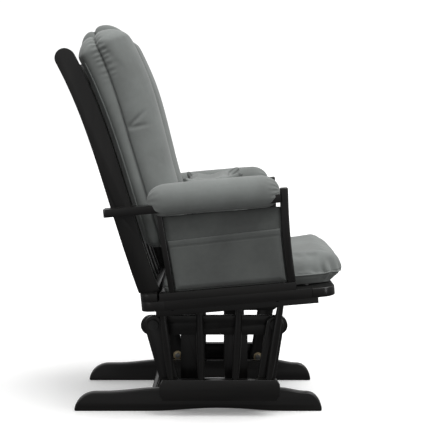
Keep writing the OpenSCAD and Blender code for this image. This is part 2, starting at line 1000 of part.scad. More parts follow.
module back_cushion() {
    middle = post_w / 2 + soft_gap + back_cushion_t / 2;
    color(cloth)
        slab(0, back_cushion_w)
            round_topped_band(
                back_cushion_from, middle - back_cushion_t / 2, middle + back_cushion_t / 2
            );
}

// It stands on the seat cushion against the back cushion, and its front bellies out.
module lumbar_pillow() {
    rear_f = -72;
    belly = 4;
    z0 = seat_cushion_h - 4;
    run = pillow_h * tan(pillow_lean);
    color(cloth)
        slab(0, pillow_w)
            deck_profile()
                polygon([
                    [rear_f, z0], [rear_f + pillow_t, z0],
                    [rear_f + pillow_t + belly, z0 + 0.38 * pillow_h],
                    [rear_f - run + pillow_t, z0 + pillow_h],
                    [rear_f - run, z0 + pillow_h]
                ]);
}

runner(LEFT);  // runner_left
runner(RIGHT);  // runner_right
base_dowels();
upright(LEFT, 1);  // front_upright_left
upright(RIGHT, 1);  // front_upright_right
upright(LEFT, 0);  // rear_upright_left
upright(RIGHT, 0);  // rear_upright_right
base_cross_boards();
top_rail(LEFT);  // top_rail_left
top_rail(RIGHT);  // top_rail_right
top_rail_screws();
upper_pivot_bolts();
pivot_caps();
swing_arm(LEFT, front_top, front_low);  // front_swing_arm_left
swing_arm(RIGHT, front_top, front_low);  // front_swing_arm_right
front_arm_bushes();
swing_arm(LEFT, rear_top, rear_low);  // rear_swing_arm_left
swing_arm(RIGHT, rear_top, rear_low);  // rear_swing_arm_right
rear_arm_bushes();
rear_lower_bolts();
lower_rail(LEFT);  // lower_rail_left
lower_rail(RIGHT);  // lower_rail_right
front_lower_bolts();
spindles(LEFT);  // spindles_left
spindles(RIGHT);  // spindles_right
side_apron(LEFT);  // side_apron_left
side_apron(RIGHT);  // side_apron_right
front_apron();
rear_apron();
deck_side(LEFT);  // deck_side_left
deck_side(RIGHT);  // deck_side_right
deck_front_board();
deck_rear_board();
seat_slats();
back_foot_rail();
back_post(LEFT);  // back_post_left
back_post(RIGHT);  // back_post_right
crest_rail();
back_slats();
arm_rail(LEFT);  // arm_rail_left
arm_rail(RIGHT);  // arm_rail_right
front_arm_post(LEFT);  // front_arm_post_left
front_arm_post(RIGHT);  // front_arm_post_right
rear_arm_post(LEFT);  // rear_arm_post_left
rear_arm_post(RIGHT);  // rear_arm_post_right
arm_board(LEFT);  // arm_board_left
arm_board(RIGHT);  // arm_board_right
frame_bolts();
arm_pad(LEFT);  // arm_pad_left
arm_pad(RIGHT);  // arm_pad_right
side_panel(LEFT);  // side_panel_left
side_panel(RIGHT);  // side_panel_right
side_pocket(LEFT);  // side_pocket_left
side_pocket(RIGHT);  // side_pocket_right
seat_cushion();
back_cushion();
lumbar_pillow();
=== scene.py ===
"""A glider nursery chair: black lacquered wood, grey suede cushions, zinc and brass pivots.

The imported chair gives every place. Its wooden parts get rounded edges, its soft parts are made
anew as stuffed cloth, and all of them ride on the bodies that the chair moves by.
"""

import math

import bpy
from mathutils import Matrix, Vector, noise
from mathutils.bvhtree import BVHTree


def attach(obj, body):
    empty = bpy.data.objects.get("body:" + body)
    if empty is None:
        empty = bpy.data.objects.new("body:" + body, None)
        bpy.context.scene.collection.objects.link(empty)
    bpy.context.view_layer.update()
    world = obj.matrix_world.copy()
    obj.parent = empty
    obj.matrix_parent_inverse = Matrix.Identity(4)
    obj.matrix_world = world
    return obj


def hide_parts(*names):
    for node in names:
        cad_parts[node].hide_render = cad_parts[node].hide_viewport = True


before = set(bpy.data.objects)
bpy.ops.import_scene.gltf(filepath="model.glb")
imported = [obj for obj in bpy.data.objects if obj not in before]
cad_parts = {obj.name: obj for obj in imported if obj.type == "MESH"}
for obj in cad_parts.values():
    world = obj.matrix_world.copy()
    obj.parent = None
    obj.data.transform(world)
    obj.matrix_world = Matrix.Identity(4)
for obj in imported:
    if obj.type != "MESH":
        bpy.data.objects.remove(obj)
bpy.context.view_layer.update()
scene = bpy.context.scene

# The seat's deck: its middle on the top face, tilted with its front up. Soft parts are shaped
# level on it, with their front towards -Y, and then laid on it by this.
ON_DECK = Matrix.Translation((0, -0.091, 0.32873)) @ Matrix.Rotation(math.radians(-5), 4, "X")

# The curve of the back posts' middle line, seen from the side: (y, z) of its four handles.
SPINE = [
    Vector((0.1344, 0.3291)), Vector((0.2196, 0.5631)),
    Vector((0.2497, 0.7441)), Vector((0.3444, 0.9221)),
]
SLAT_FACE = 0.0262       # from the spine to the plane that the back cushion lies on
CUSHION_FOOT = 0.135     # share of the spine where the back cushion starts
CORD_RADIUS = 0.0022     # of the piping in the cushions' edges
STUFFING_FRAMES = 20     # length of each cloth simulation


# ---- Small tools ----

def smooth(low, high, value):
    """A soft step from 0 at low to 1 at high. With low above high it falls instead."""
    share = min(1.0, max(0.0, (value - low) / (high - low)))
    return share * share * (3 - 2 * share)


def hill(middle, width, value):
    """A soft bump of 1 at middle that fades over width."""
    return math.exp(-(((value - middle) / width) ** 2))


def deselect():
    if bpy.context.mode != "OBJECT":
        bpy.ops.object.mode_set(mode="OBJECT")
    bpy.ops.object.select_all(action="DESELECT")


def pick(piece):
    deselect()
    piece.select_set(True)
    bpy.context.view_layer.objects.active = piece


def modify(piece, kind, **settings):
    pick(piece)
    modifier = piece.modifiers.new(kind.title(), kind)
    for name, value in settings.items():
        setattr(modifier, name, value)
    bpy.ops.object.modifier_apply(modifier=modifier.name)


def block(name, low, high):
    """A box from its low to its high corner, with its place in its mesh."""
    deselect()
    low, high = Vector(low), Vector(high)
    bpy.ops.mesh.primitive_cube_add(size=1, location=(low + high) / 2)
    piece = bpy.context.object
    piece.name = name
    piece.scale = high - low
    bpy.ops.object.transform_apply(location=True, rotation=True, scale=True)
    return piece


def reshape(piece, move):
    for vertex in piece.data.vertices:
        vertex.co = move(vertex.co)
    piece.data.update()


def keep_places(piece, name):
    """Remembers where each point is now, for seams and folds that are drawn later."""
    layer = piece.data.attributes.new(name, "FLOAT_VECTOR", "POINT")
    layer.data.foreach_set("vector", [c for v in piece.data.vertices for c in v.co])


def kept_places(piece, name):
    data = piece.data.attributes[name].data
    return [Vector(d.vector) for d in data]


def stuff(piece, held, pressure, cap):
    """Swells the piece with a cloth simulation, as its filling does, and keeps the result.

    held gives how firmly the seams hold a point, from 0 to 1, and no point moves beyond cap.
    """
    before = [v.co.copy() for v in piece.data.vertices]
    sewn = piece.vertex_groups.new(name="sewn")
    for index, place in enumerate(before):
        weight = held(index, place)
        if weight > 0:
            sewn.add([index], weight, "REPLACE")
    pick(piece)
    modifier = piece.modifiers.new("Stuffing", "CLOTH")
    cloth = modifier.settings
    cloth.quality = 5
    cloth.mass = 0.3
    cloth.tension_stiffness = cloth.compression_stiffness = 15
    cloth.shear_stiffness = 5
    cloth.bending_stiffness = 0.4
    cloth.use_pressure = True
    cloth.uniform_pressure_force = pressure
    cloth.vertex_group_mass = "sewn"
    cloth.effector_weights.gravity = 0
    modifier.point_cache.frame_start, modifier.point_cache.frame_end = 1, STUFFING_FRAMES
    for step in range(1, STUFFING_FRAMES + 1):
        scene.frame_set(step)
    bpy.ops.object.modifier_apply(modifier=modifier.name)
    for vertex, start in zip(piece.data.vertices, before):
        gone = vertex.co - start
        if gone.length > cap:
            vertex.co = start + gone * (cap / gone.length)
    piece.vertex_groups.clear()
    scene.frame_set(1)


def crease(piece, depth_at):
    """Presses each point in along its normal by depth_at(index)."""
    normals = [v.normal.copy() for v in piece.data.vertices]
    for index, vertex in enumerate(piece.data.vertices):
        vertex.co -= normals[index] * depth_at(index)
    piece.data.update()


def paint_seam_shade(piece, share_at):
    """Keeps how far each point lies in a seam, from 0 to 1, for the painted shade in the cloth's
    colour.
    """
    layer = piece.data.attributes.new("seam", "FLOAT", "POINT")
    layer.data.foreach_set("value", [share_at(i) for i in range(len(piece.data.vertices))])


def tube(name, path, radius, closed=False):
    """A cord of cloth along a path."""
    deselect()
    curve = bpy.data.curves.new(name, "CURVE")
    curve.dimensions = "3D"
    curve.bevel_depth = radius
    curve.bevel_resolution = 3
    curve.use_fill_caps = True
    spline = curve.splines.new("POLY")
    spline.points.add(len(path) - 1)
    for point, place in zip(spline.points, path):
        point.co = (*place, 1)
    spline.use_cyclic_u = closed
    piece = bpy.data.objects.new(name, curve)
    scene.collection.objects.link(piece)
    pick(piece)
    bpy.ops.object.convert(target="MESH")
    return bpy.context.object


def snapped(piece, path, lift):
    """The path moved onto the piece's surface, and lift above it."""
    tree = BVHTree.FromObject(piece, bpy.context.evaluated_depsgraph_get())
    places = []
    for place in path:
        found, normal, _, _ = tree.find_nearest(place)
        places.append(found + normal * lift)
    for _ in range(2):
        inner = [
            (a + 2 * b + c) / 4 for a, b, c in zip(places, places[1:], places[2:])
        ]
        places = [places[0]] + inner + [places[-1]]
    return places


def finish_piece(piece, material, body, nodes=(), angle=None):
    """Gives a piece its material, shading and body, and hides the imported nodes it stands for."""
    piece.data.materials.clear()
    piece.data.materials.append(material)
    pick(piece)
    if angle is None:
        bpy.ops.object.shade_smooth()
    else:
        bpy.ops.object.shade_smooth_by_angle(angle=math.radians(angle))
    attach(piece, body)
    if nodes:
        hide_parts(*nodes)
    return piece


# ---- Materials ----

def linear(colour):
    """A hex sRGB colour as linear red, green, blue and alpha."""
    shares = [int(colour[i : i + 2], 16) / 255 for i in (1, 3, 5)]
    return [s / 12.92 if s <= 0.04045 else ((s + 0.055) / 1.055) ** 2.4 for s in shares] + [1]


def add(tree, kind, settings=(), links=()):
    """A node with its settings, by attribute or input name, and links into its inputs."""
    made = tree.nodes.new(kind)
    for name, value in dict(settings).items():
        if isinstance(name, str) and hasattr(made, name):
            setattr(made, name, value)
        else:
            made.inputs[name].default_value = value
    for name, output in dict(links).items():
        tree.links.new(output, made.inputs[name])
    return made


def material(name, **values):
    """A new material, with its tree, its shader and its place in the object."""
    made = bpy.data.materials.new(name)
    made.use_nodes = True
    tree = made.node_tree
    shader = tree.nodes["Principled BSDF"]
    for socket, value in values.items():
        shader.inputs[socket.replace("_", " ")].default_value = value
    place = add(tree, "ShaderNodeTexCoord").outputs["Object"]
    return made, tree, shader, place


def lacquered_wood(name, turn):
    """Beech under black satin lacquer: near black, soft long highlights, pores that just show
    as fine lines along the grain. The grain runs along Z, and turn lays it along the board."""
    made, tree, shader, place = material(
        name, IOR=1.5, Coat_Weight=0.25, Coat_Roughness=0.16, Coat_IOR=1.5
    )
    shader.inputs["Specular IOR Level"].default_value = 0.36
    laid = add(tree, "ShaderNodeMapping", {"Rotation": turn}, {"Vector": place}).outputs["Vector"]
    # Pores 1.5 mm apart across the grain and about 30 mm long.
    long = add(tree, "ShaderNodeMapping", {"Scale": (650, 650, 32)}, {"Vector": laid})
    pores = add(
        tree, "ShaderNodeTexNoise", {"Scale": 1.0, "Detail": 3.0},
        {"Vector": long.outputs["Vector"]},
    ).outputs["Fac"]
    # Broad bands of early and late wood, 18 mm apart, that the lacquer lets through faintly.
    broad = add(tree, "ShaderNodeMapping", {"Scale": (55, 55, 5)}, {"Vector": laid})
    bands = add(
        tree, "ShaderNodeTexNoise", {"Scale": 1.0, "Detail": 2.0},
        {"Vector": broad.outputs["Vector"]},
    ).outputs["Fac"]
    share = add(
        tree, "ShaderNodeMapRange", {"From Min": 0.3, "From Max": 0.7}, {"Value": bands}
    ).outputs["Result"]
    colour = add(
        tree, "ShaderNodeMix",
        {"data_type": "RGBA", 6: linear("#0c0b0b"), 7: linear("#151413")}, {0: share},
    ).outputs[2]
    tree.links.new(colour, shader.inputs["Base Color"])
    rough = add(
        tree, "ShaderNodeMapRange", {"To Min": 0.24, "To Max": 0.38}, {"Value": pores}
    ).outputs["Result"]
    tree.links.new(rough, shader.inputs["Roughness"])
    bump = add(
        tree, "ShaderNodeBump", {"Strength": 0.18, "Distance": 0.0004}, {"Height": pores}
    ).outputs["Normal"]
    tree.links.new(bump, shader.inputs["Normal"])
    return made


def suede(name, dark, light):
    """Polyester microsuede: matt, with a soft bloom at its edges and patches where the nap
    lies the other way."""
    made, tree, shader, place = material(
        name, Roughness=0.86, IOR=1.45, Sheen_Weight=0.32, Sheen_Roughness=0.45
    )
    shader.inputs["Specular IOR Level"].default_value = 0.28
    # Nap patches of some 90 mm, broken up by ones of 12 mm.
    wide = add(
        tree, "ShaderNodeTexNoise", {"Scale": 11.0, "Detail": 2.0, "Roughness": 0.45},
        {"Vector": place},
    ).outputs["Fac"]
    small = add(
        tree, "ShaderNodeTexNoise", {"Scale": 85.0, "Detail": 3.0}, {"Vector": place}
    ).outputs["Fac"]
    patches = add(
        tree, "ShaderNodeMath", {"operation": "MULTIPLY_ADD", 1: 0.3}, {0: small, 2: wide}
    ).outputs["Value"]
    share = add(
        tree, "ShaderNodeMapRange", {"From Min": 0.4, "From Max": 0.95}, {"Value": patches}
    ).outputs["Result"]
    colour = add(
        tree, "ShaderNodeMix", {"data_type": "RGBA", 6: linear(dark), 7: linear(light)},
        {0: share},
    ).outputs[2]
    # Painted shade: seams and the bottoms of puckers are darkened in the cloth's colour, by up to
    # 72 % where the seam mask is 1.
    seam = add(tree, "ShaderNodeAttribute", {"attribute_name": "seam"}).outputs["Fac"]
    keep = add(
        tree, "ShaderNodeMath", {"operation": "MULTIPLY_ADD", 1: -0.72, 2: 1.0}, {0: seam}
    ).outputs["Value"]
    shaded = add(
        tree, "ShaderNodeVectorMath", {"operation": "SCALE"}, {0: colour, "Scale": keep}
    ).outputs["Vector"]
    tree.links.new(shaded, shader.inputs["Base Color"])
    # Fibre grain of 1.2 mm, coarser than the real 0.2 mm so that it shows.
    fibres = add(
        tree, "ShaderNodeTexNoise", {"Scale": 830.0, "Detail": 2.0}, {"Vector": place}
    ).outputs["Fac"]
    both = add(
        tree, "ShaderNodeMath", {"operation": "MULTIPLY_ADD", 1: 0.25}, {0: small, 2: fibres}
    ).outputs["Value"]
    bump = add(
        tree, "ShaderNodeBump", {"Strength": 0.22, "Distance": 0.0007}, {"Height": both}
    ).outputs["Normal"]
    tree.links.new(bump, shader.inputs["Normal"])
    return made


def turned_metal(name, dark, light, rough):
    """Small turned hardware, with a fine mottle from its plating or its oxide."""
    made, tree, shader, place = material(name, Metallic=1.0)
    # Mottle of 2 mm.
    mottle = add(
        tree, "ShaderNodeTexNoise", {"Scale": 500.0, "Detail": 3.0}, {"Vector": place}
    ).outputs["Fac"]
    share = add(
        tree, "ShaderNodeMapRange", {"From Min": 0.3, "From Max": 0.7}, {"Value": mottle}
    ).outputs["Result"]
    colour = add(
        tree, "ShaderNodeMix", {"data_type": "RGBA", 6: linear(dark), 7: linear(light)},
        {0: share},
    ).outputs[2]
    tree.links.new(colour, shader.inputs["Base Color"])
    spread = add(
        tree, "ShaderNodeMapRange", {"To Min": rough - 0.06, "To Max": rough + 0.08},
        {"Value": mottle},
    ).outputs["Result"]
    tree.links.new(spread, shader.inputs["Roughness"])
    bump = add(
        tree, "ShaderNodeBump", {"Strength": 0.08, "Distance": 0.0002}, {"Height": mottle}
    ).outputs["Normal"]
    tree.links.new(bump, shader.inputs["Normal"])
    return made


def moulded_plastic(name, dark, light):
    """Moulded polyethylene: black, matt, with a fine spark-eroded grain."""
    made, tree, shader, place = material(name, IOR=1.5)
    grain = add(
        tree, "ShaderNodeTexNoise", {"Scale": 1100.0, "Detail": 2.0}, {"Vector": place}
    ).outputs["Fac"]
    share = add(
        tree, "ShaderNodeMapRange", {"From Min": 0.3, "From Max": 0.7}, {"Value": grain}
    ).outputs["Result"]
    colour = add(
        tree, "ShaderNodeMix", {"data_type": "RGBA", 6: linear(dark), 7: linear(light)},
        {0: share},
    ).outputs[2]
    tree.links.new(colour, shader.inputs["Base Color"])
    rough = add(
        tree, "ShaderNodeMapRange", {"To Min": 0.42, "To Max": 0.58}, {"Value": grain}
    ).outputs["Result"]
    tree.links.new(rough, shader.inputs["Roughness"])
    bump = add(
        tree, "ShaderNodeBump", {"Strength": 0.15, "Distance": 0.0002}, {"Height": grain}
    ).outputs["Normal"]
    tree.links.new(bump, shader.inputs["Normal"])
    return made


QUARTER = math.pi / 2
wood_upright = lacquered_wood("black_lacquered_beech_upright", (0, 0, 0))
wood_lengthwise = lacquered_wood("black_lacquered_beech_lengthwise", (QUARTER, 0, 0))
wood_across = lacquered_wood("black_lacquered_beech_across", (0, QUARTER, 0))
grey_suede = suede("grey_microsuede", "#727573", "#818583")
# Painted shade: the side panels and pockets get a darker copy of the same grey cloth, for the
# shade under the arms.
panel_suede_painted_shade = suede("grey_microsuede_painted_shade", "#505251", "#5d605e")
cord_suede = suede("grey_microsuede_cord", "#707371", "#7f8381")
zinc = turned_metal("zinc_plated_steel", "#a9acae", "#c9cccd", 0.3)
brass = turned_metal("turned_brass", "#d9c396", "#efe0c0", 0.34)
black_steel = turned_metal("black_oxide_steel", "#1b1b1c", "#262627", 0.4)
cap_plastic = moulded_plastic("black_moulded_polyethylene", "#141414", "#1d1d1d")


# ---- Wooden parts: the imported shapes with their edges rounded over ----

def rounded_wood(name, body, grain, radius):
    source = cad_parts[name]
    piece = bpy.data.objects.new(name + "_rounded", source.data.copy())
    piece.data.transform(source.matrix_world)
    scene.collection.objects.link(piece)
    pick(piece)
    bpy.ops.object.mode_set(mode="EDIT")
    bpy.ops.mesh.select_all(action="SELECT")
    bpy.ops.mesh.remove_doubles(threshold=0.00002)
    bpy.ops.mesh.dissolve_limited(angle_limit=math.radians(0.5))
    bpy.ops.object.mode_set(mode="OBJECT")
    modify(
        piece, "BEVEL", width=radius, segments=3, limit_method="ANGLE",
        angle_limit=math.radians(40), use_clamp_overlap=True,
    )
    return finish_piece(piece, grain, body, [name], angle=38)


for side in ("_left", "_right"):
    rounded_wood("runner" + side, "base", wood_lengthwise, 0.004)
    rounded_wood("front_upright" + side, "base", wood_upright, 0.0025)
    rounded_wood("rear_upright" + side, "base", wood_upright, 0.0025)
    rounded_wood("top_rail" + side, "base", wood_lengthwise, 0.003)
    rounded_wood("front_swing_arm" + side, "front_swing_arms", wood_upright, 0.003)
    rounded_wood("rear_swing_arm" + side, "rear_swing_arms", wood_upright, 0.003)
    rounded_wood("lower_rail" + side, "seat", wood_lengthwise, 0.003)
    rounded_wood("spindles" + side, "seat", wood_upright, 0.001)
    rounded_wood("side_apron" + side, "seat", wood_lengthwise, 0.002)
    rounded_wood("deck_side" + side, "seat", wood_lengthwise, 0.0025)
    rounded_wood("back_post" + side, "seat", wood_upright, 0.004)
    rounded_wood("arm_rail" + side, "seat", wood_lengthwise, 0.0025)
    rounded_wood("front_arm_post" + side, "seat", wood_upright, 0.003)
    rounded_wood("rear_arm_post" + side, "seat", wood_upright, 0.0025)
    rounded_wood("arm_board" + side, "seat", wood_lengthwise, 0.003)
rounded_wood("base_dowels", "base", wood_across, 0.001)
rounded_wood("base_cross_boards", "base", wood_across, 0.002)
for board in ("front_apron", "rear_apron", "deck_front_board", "deck_rear_board", "seat_slats",
              "back_foot_rail", "crest_rail", "back_slats"):
    grain = wood_upright if board == "back_slats" else wood_across
    rounded_wood(board, "seat", grain, 0.0025)

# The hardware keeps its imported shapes.
for name, finish in {
    "upper_pivot_bolts": zinc, "rear_lower_bolts": zinc, "front_lower_bolts": zinc,
    "top_rail_screws": zinc, "frame_bolts": black_steel, "front_arm_bushes": brass,
    "rear_arm_bushes": brass, "pivot_caps": cap_plastic,
}.items():
    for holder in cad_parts[name].material_slots:
        holder.link = "OBJECT"
        holder.material = finish


# ---- Back cushion: three upright channels, with a puckered seam round its sides ----

def spine_point(t):
    a, b, c, d = SPINE
    return (1 - t) ** 3 * a + 3 * (1 - t) ** 2 * t * b + 3 * (1 - t) * t * t * c + t**3 * d


def spine_heading(t):
    a, b, c, d = SPINE
    slope = 3 * (1 - t) ** 2 * (b - a) + 6 * (1 - t) * t * (c - b) + 3 * t * t * (d - c)
    return slope.normalized()


STEPS = 80
SHARES = [CUSHION_FOOT + (1 - CUSHION_FOOT) * i / STEPS for i in range(STEPS + 1)]
LENGTHS = [0.0]
for one, two in zip(SHARES, SHARES[1:]):
    LENGTHS.append(LENGTHS[-1] + (spine_point(two) - spine_point(one)).length)
CURVE = LENGTHS[-1]
TOP = CURVE + 0.056      # the cushion's top stands this far beyond the posts'
WIDE, THICK = 0.466, 0.126
CHANNEL = 0.080          # from the middle to the seam beside the middle channel


def along_back(place):
    """Bends a straight cushion, standing on z = 0 with its rear at y = 0, along the back."""
    z = place.z
    if z <= CURVE:
        share = max(z, 0) / CURVE * STEPS
        i = min(int(share), STEPS - 1)
        t = SHARES[i] + (SHARES[i + 1] - SHARES[i]) * (
            (max(z, 0) - LENGTHS[i]) / (LENGTHS[i + 1] - LENGTHS[i])
        )
        over = min(z, 0)
    else:
        t, over = 1.0, z - CURVE
    ahead = spine_heading(t)
    foot = spine_point(t) + over * ahead
    depth = SLAT_FACE - place.y
    return Vector((place.x, foot.x - depth * ahead.y, foot.y + depth * ahead.x))


def seam_depth(z):
    """The side seam's distance from the rear face, at a height in the straight cushion."""
    return 0.044 + 0.016 * smooth(0.22, 0.58, z)


def back_shape(place):
    x, depth, z = place.x, -place.y, place.z
    across = abs(x)
    side_lobe = smooth(CHANNEL - 0.012, CHANNEL + 0.016, across)
    front = smooth(0.35 * THICK, 0.85 * THICK, depth)
    top = smooth(TOP - 0.085, TOP - 0.02, z)
    groove = hill(CHANNEL, 0.008, across)
    middle = 0 if across < CHANNEL else (CHANNEL + WIDE / 2) / 2
    half = CHANNEL if across < CHANNEL else (WIDE / 2 - CHANNEL) / 2
    belly = max(0.0, math.cos(math.pi / 2 * (across - middle) / half))
    # Side lobes stand lower and further back, and each channel is crowned.
    z -= z / TOP * 0.030 * side_lobe
    depth -= front * (0.014 * groove - 0.009 * side_lobe - 0.006 * belly)
    z -= top * (0.016 * groove - 0.004 * belly)
    # The front rounds off towards the sides and thins towards the foot, and the top is round.
    outer = smooth(WIDE / 2 - 0.080, WIDE / 2, across)
    depth -= front * (0.020 * outer * outer + 0.020 * (1 - smooth(0.18, 0.44, z)))
    z -= smooth(TOP - 0.09, TOP, z) * (
        0.026 * (2 * depth / THICK - 1) ** 2 + 0.024 * outer * outer
    )
    # The side seam pulls the cushion in.
    pull = hill(seam_depth(place.z), 0.010, depth)
    x -= math.copysign(0.005 * pull * smooth(WIDE / 2 - 0.04, WIDE / 2 - 0.01, across), x)
    z -= 0.007 * pull * smooth(TOP - 0.07, TOP - 0.03, z)
    # The sides pull in a little between the ends.
    x *= 1 - 0.012 * math.sin(math.pi * min(1, max(0, z / TOP)))
    return Vector((x, -depth, z))


back = block("back_cushion_stuffed", (-WIDE / 2, -THICK, 0), (WIDE / 2, 0, TOP))
modify(back, "BEVEL", width=0.034, segments=6, limit_method="NONE")
modify(back, "REMESH", mode="VOXEL", voxel_size=0.006)
reshape(back, back_shape)
keep_places(back, "straight")
straight = kept_places(back, "straight")
reshape(back, along_back)


def back_held(index, place):
    p = straight[index]
    depth, across = -p.y, abs(p.x)
    rear = 1 - smooth(0.004, 0.016, depth)
    seam = hill(seam_depth(p.z), 0.004, depth) * max(
        smooth(WIDE / 2 - 0.03, WIDE / 2 - 0.02, across), smooth(TOP - 0.08, TOP - 0.06, p.z)
    )
    channel = hill(CHANNEL, 0.005, across) * smooth(0.5 * THICK, 0.7 * THICK, depth)
    return max(rear, seam, channel)


stuff(back, back_held, pressure=3.0, cap=0.007)
modify(back, "SUBSURF", levels=1, render_levels=1)
straight = kept_places(back, "straight")


def back_crease(index):
    p = straight[index]
    depth, across, z = -p.y, abs(p.x), p.z
    at_side = smooth(WIDE / 2 - 0.05, WIDE / 2 - 0.02, across)
    at_top = smooth(TOP - 0.10, TOP - 0.06, z)
    off = depth - seam_depth(z)
    seam = hill(0, 0.0035, off) * max(at_side, at_top)
    channel = hill(CHANNEL, 0.004, across) * smooth(0.45 * THICK, 0.7 * THICK, depth)
    # Puckers beside the seam: strong near the top, faint lower down.
    run = z if at_side > at_top else across
    wave = math.sin(run * 470 + 2.2 * noise.noise((0, 0, run * 30)))
    wander = 0.65 + 0.5 * noise.noise((3.1, off * 40, run * 55))
    near_top = smooth(TOP - 0.17, TOP - 0.10, z) * (1 - smooth(TOP - 0.05, TOP - 0.02, z))
    strong = 0.03 + 0.97 * near_top
    reach = hill(0.009 if off > 0 else -0.008, 0.010, off)
    pucker = max(at_side, 0.6 * at_top) * strong * reach * wave * wander
    # Two folds that fan out from the seam at elbow height.
    fan = 0
    for rise in (0.45, -0.12):
        line = z - (0.315 + rise * off)
        fan += hill(0, 0.005, line) * smooth(0.0, 0.012, off) * (1 - smooth(0.02, 0.075, off))
    return 0.0036 * seam + 0.003 * channel + 0.0024 * pucker + 0.0034 * fan * at_side


# Where painted shade darkens the back cushion's colour: its side seam and the grooves between
# channels.
def back_seam_shade(index):
    p = straight[index]
    depth, across, z = -p.y, abs(p.x), p.z
    edge = max(smooth(WIDE / 2 - 0.05, WIDE / 2 - 0.02, across), smooth(TOP - 0.10, TOP - 0.06, z))
    front = smooth(0.45 * THICK, 0.7 * THICK, depth)
    return max(hill(seam_depth(z), 0.0022, depth) * edge, hill(CHANNEL, 0.0026, across) * front)


crease(back, back_crease)
paint_seam_shade(back, back_seam_shade)
finish_piece(back, grey_suede, "seat", ["back_cushion"])

for side in (-1, 1):
    path = []
    for i in range(60):
        z = 0.012 + (TOP - 0.10) * i / 59
        path.append(along_back(Vector((side * (WIDE / 2 - 0.006), -0.009, z))))
    label = "left" if side > 0 else "right"
    cord = tube("back_cushion_cord_" + label, snapped(back, path, 0.0008), CORD_RADIUS)
    finish_piece(cord, cord_suede, "seat")


# ---- Seat cushion: low at its edges and crowned, with a corded seam low on its border ----

SEAT_REAR, SEAT_FRONT, SEAT_HALF = 0.190, -0.272, 0.246
EDGE_HIGH, CROWN_HIGH, SEAT_SEAM = 0.064, 0.080, 0.024


def seat_shape(place):
    x, y, z = place
    across = abs(x) / SEAT_HALF
    share = (SEAT_REAR - y) / (SEAT_REAR - SEAT_FRONT)    # 0 at the rear, 1 at the front
    up = smooth(0.4 * EDGE_HIGH, EDGE_HIGH, z)
    dome = (1 - across**3.2) * (1 - abs(2 * share - 1) ** 7)
    z += up * (CROWN_HIGH - EDGE_HIGH) * max(0, dome) ** 0.75
    # Its front is as full as its middle.
    z += up * 0.010 * smooth(0.80, 0.97, share) * (1 - 0.5 * across**4)
    # The front bows forward at its middle, and the corners are round in plan.
    corner = smooth(0.72, 1.0, across)
    at_front = smooth(0.6, 1.0, share)
    y += at_front * (-0.010 * (1 - across**2) + 0.014 * corner * corner)
    x -= math.copysign(0.016 * corner * smooth(0.80, 1.0, share), x)
    # Under the seam the bottom panel is drawn in.
    under = 1 - smooth(0.0, SEAT_SEAM + 0.008, z)
    y += under * 0.020 * smooth(0.9, 1.0, share)
    x -= math.copysign(under * 0.012 * smooth(0.9, 1.0, across), x)
    x *= 1 - 0.010 * math.sin(math.pi * min(1, max(0, share)))
    return Vector((x, y, z))


seat = block(
    "seat_cushion_stuffed", (-SEAT_HALF, SEAT_FRONT, 0.001), (SEAT_HALF, SEAT_REAR, EDGE_HIGH)
)
modify(seat, "BEVEL", width=0.028, segments=6, limit_method="NONE")
modify(seat, "REMESH", mode="VOXEL", voxel_size=0.006)
reshape(seat, seat_shape)
keep_places(seat, "level")
level = kept_places(seat, "level")


def seat_border(p):
    """How far round the border a point of the seat cushion is, from 0 on its faces to 1."""
    return max(
        smooth(SEAT_HALF - 0.035, SEAT_HALF - 0.016, abs(p.x)),
        smooth(-SEAT_FRONT - 0.045, -SEAT_FRONT - 0.022, -p.y),
        smooth(SEAT_REAR - 0.03, SEAT_REAR - 0.012, p.y),
    )


def seat_held(index, place):
    p = level[index]
    bottom = 1 - smooth(0.002, 0.012, p.z)
    return max(bottom, hill(SEAT_SEAM, 0.004, p.z) * seat_border(p))


stuff(seat, seat_held, pressure=2.4, cap=0.006)
modify(seat, "SUBSURF", levels=1, render_levels=1)
level = kept_places(seat, "level")


def seat_crease(index):
    p = level[index]
    border = seat_border(p)
    off = p.z - SEAT_SEAM
    seam = hill(0, 0.0032, off) * border
    # Puckers crowd the seam at the front corners.
    corner = smooth(SEAT_HALF - 0.07, SEAT_HALF - 0.02, abs(p.x)) * smooth(0.195, 0.245, -p.y)
    run = math.atan2(-p.y - 0.19, SEAT_HALF - 0.06 - abs(p.x))
    wave = math.sin(run * 15 + 1.5 * noise.noise((p.x * 20, p.y * 20, 0)))
    pucker = corner * wave * hill(0.008, 0.020, off)
    slow = noise.noise((p.x * 9, p.y * 9, 4.2)) * smooth(0.03, 0.06, p.z)
    return 0.003 * seam + 0.0036 * pucker + 0.0016 * slow


crease(seat, seat_crease)
# Painted shade along the seat cushion's corded seam.
paint_seam_shade(
    seat, lambda index: hill(SEAT_SEAM + 0.004, 0.002, level[index].z) * seat_border(level[index])
)
for vertex in seat.data.vertices:
    vertex.co.z = max(vertex.co.z, 0.0008)
outline = []
for i in range(160):
    turn = 2 * math.pi * i / 160
    c, s = math.cos(turn), math.sin(turn)
    x = math.copysign(abs(c) ** 0.22, c) * (SEAT_HALF + 0.004)
    y = (SEAT_REAR + SEAT_FRONT) / 2 + math.copysign(abs(s) ** 0.22, s) * (
        (SEAT_REAR - SEAT_FRONT) / 2 + 0.004
    )
    outline.append(Vector((x, y, SEAT_SEAM)))
seat_path = snapped(seat, outline, 0.0012)
seat.data.transform(ON_DECK)
finish_piece(seat, grey_suede, "seat", ["seat_cushion"])
cord = tube("seat_cushion_cord", [ON_DECK @ p for p in seat_path], CORD_RADIUS, closed=True)
finish_piece(cord, cord_suede, "seat")


# ---- Lumbar pillow: a boxed pillow with pulled-out corners, between seat and back ----

PILLOW_HALF, PILLOW_LOW, PILLOW_HIGH = 0.192, 0.0945, 0.294
PILLOW_DEEP = 0.064      # half of its depth


